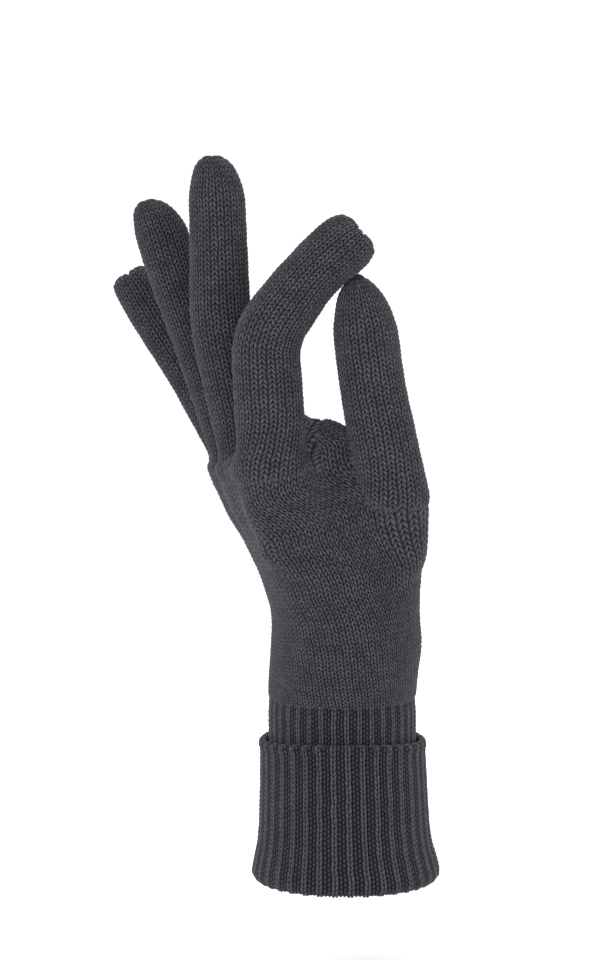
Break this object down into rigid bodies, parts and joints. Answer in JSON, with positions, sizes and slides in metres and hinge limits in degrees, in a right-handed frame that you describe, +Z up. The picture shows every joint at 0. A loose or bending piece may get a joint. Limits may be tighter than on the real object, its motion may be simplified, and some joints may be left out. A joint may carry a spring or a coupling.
{
  "type": "knitted glove",
  "caption": "Left-hand glove in plain knitting with a turned-back ribbed cuff, the forefinger bent to meet the thumb and the other fingers raised.",
  "frame": {"origin": "centre of the cuff's opening, in the plane of the folded edge", "axes": "+Z up the arm towards the fingertips, +X the way the palm faces, -Y the side of the thumb"},
  "size_m": [0.1066, 0.0775, 0.2408],
  "materials": {
    "plain_knit": "soft matt stocking-stitch knitting in charcoal wool",
    "ribbed_knit": "soft matt one-by-one ribbing in charcoal wool",
    "closing_yarn": "charcoal wool yarn drawn tight"
  },
  "bodies": {
    "cuff": {"wrist_rib": "ribbed_knit", "cuff_turn_back": "ribbed_knit", "cast_on_edge": "ribbed_knit"},
    "hand": {"hand_tube": "plain_knit", "thumb_join_row": "closing_yarn", "crotch_index_middle": "plain_knit", "crotch_middle_ring": "plain_knit", "crotch_ring_little": "plain_knit"},
    "index_lower": {"index_lower": "plain_knit"},
    "index_middle": {"index_middle": "plain_knit"},
    "index_tip": {"index_tip": "plain_knit", "index_draw_yarn": "closing_yarn"},
    "middle_lower": {"middle_lower": "plain_knit"},
    "middle_middle": {"middle_middle": "plain_knit"},
    "middle_tip": {"middle_tip": "plain_knit", "middle_draw_yarn": "closing_yarn"},
    "ring_lower": {"ring_lower": "plain_knit"},
    "ring_middle": {"ring_middle": "plain_knit"},
    "ring_tip": {"ring_tip": "plain_knit", "ring_draw_yarn": "closing_yarn"},
    "little_lower": {"little_lower": "plain_knit"},
    "little_middle": {"little_middle": "plain_knit"},
    "little_tip": {"little_tip": "plain_knit", "little_draw_yarn": "closing_yarn"},
    "thumb_lower": {"thumb_lower": "plain_knit"},
    "thumb_tip": {"thumb_tip": "plain_knit", "thumb_draw_yarn": "closing_yarn"}
  },
  "joints": [
    {"name": "wrist_bend", "type": "hinge", "parent": "cuff", "child": "hand", "pos_m": [-0.0018, 0, 0.0675], "axis": [0, 1, 0], "range_deg": [-15, 50]},
    {"name": "index_knuckle", "type": "hinge", "parent": "hand", "child": "index_lower", "pos_m": [-0.02582, -0.0275, 0.14226], "axis": [0, 1, 0], "range_deg": [-35, 0]},
    {"name": "index_middle_bend", "type": "hinge", "parent": "index_lower", "child": "index_middle", "pos_m": [-0.02651, -0.0275, 0.18175], "axis": [0, 1, 0], "range_deg": [-35.5, 0]},
    {"name": "index_tip_bend", "type": "hinge", "parent": "index_middle", "child": "index_tip", "pos_m": [-0.01235, -0.0275, 0.20212], "axis": [0, 1, 0], "range_deg": [-13.8, 0]},
    {"name": "middle_knuckle", "type": "hinge", "parent": "hand", "child": "middle_lower", "pos_m": [-0.03194, -0.0088, 0.14259], "axis": [0, 1, 0], "range_deg": [-25, 50]},
    {"name": "middle_middle_bend", "type": "hinge", "parent": "middle_lower", "child": "middle_middle", "pos_m": [-0.0418, -0.0088, 0.18465], "axis": [0, 1, 0], "range_deg": [-10, 65]},
    {"name": "middle_tip_bend", "type": "hinge", "parent": "middle_middle", "child": "middle_tip", "pos_m": [-0.04258, -0.0088, 0.21454], "axis": [0, 1, 0], "range_deg": [-8, 43]},
    {"name": "ring_knuckle", "type": "hinge", "parent": "hand", "child": "ring_lower", "pos_m": [-0.03484, 0.0092, 0.13919], "axis": [0.0136, 0.9994, -0.0321], "range_deg": [-18, 55]},
    {"name": "ring_middle_bend", "type": "hinge", "parent": "ring_lower", "child": "ring_middle", "pos_m": [-0.04852, 0.01062, 0.1776], "axis": [0.0136, 0.9994, -0.0321], "range_deg": [0, 70]},
    {"name": "ring_tip_bend", "type": "hinge", "parent": "ring_middle", "child": "ring_tip", "pos_m": [-0.05754, 0.01154, 0.2024], "axis": [0.0136, 0.9994, -0.0321], "range_deg": [0, 46]},
    {"name": "little_knuckle", "type": "hinge", "parent": "hand", "child": "little_lower", "pos_m": [-0.03587, 0.0265, 0.13701], "axis": [0.0408, 0.9945, -0.0962], "range_deg": [-10, 60]},
    {"name": "little_middle_bend", "type": "hinge", "parent": "little_lower", "child": "little_middle", "pos_m": [-0.05256, 0.03012, 0.16734], "axis": [0.0408, 0.9945, -0.0962], "range_deg": [0, 70]},
    {"name": "little_tip_bend", "type": "hinge", "parent": "little_middle", "child": "little_tip", "pos_m": [-0.0637, 0.03236, 0.1857], "axis": [0.0408, 0.9945, -0.0962], "range_deg": [0, 46]},
    {"name": "thumb_swing", "type": "hinge", "parent": "hand", "child": "thumb_lower", "pos_m": [0.0143, -0.0275, 0.1295], "axis": [0, 1, 0], "range_deg": [0, 30]},
    {"name": "thumb_tip_bend", "type": "hinge", "parent": "thumb_lower", "child": "thumb_tip", "pos_m": [0.00758, -0.0275, 0.16609], "axis": [0, 1, 0], "range_deg": [0, 20]}
  ],
  "couplings": [
    {"joint": "index_tip_bend", "follows": "index_middle_bend", "ratio": 0.38},
    {"joint": "middle_tip_bend", "follows": "middle_middle_bend", "ratio": 0.65},
    {"joint": "ring_tip_bend", "follows": "ring_middle_bend", "ratio": 0.65},
    {"joint": "little_tip_bend", "follows": "little_middle_bend", "ratio": 0.65}
  ]
}
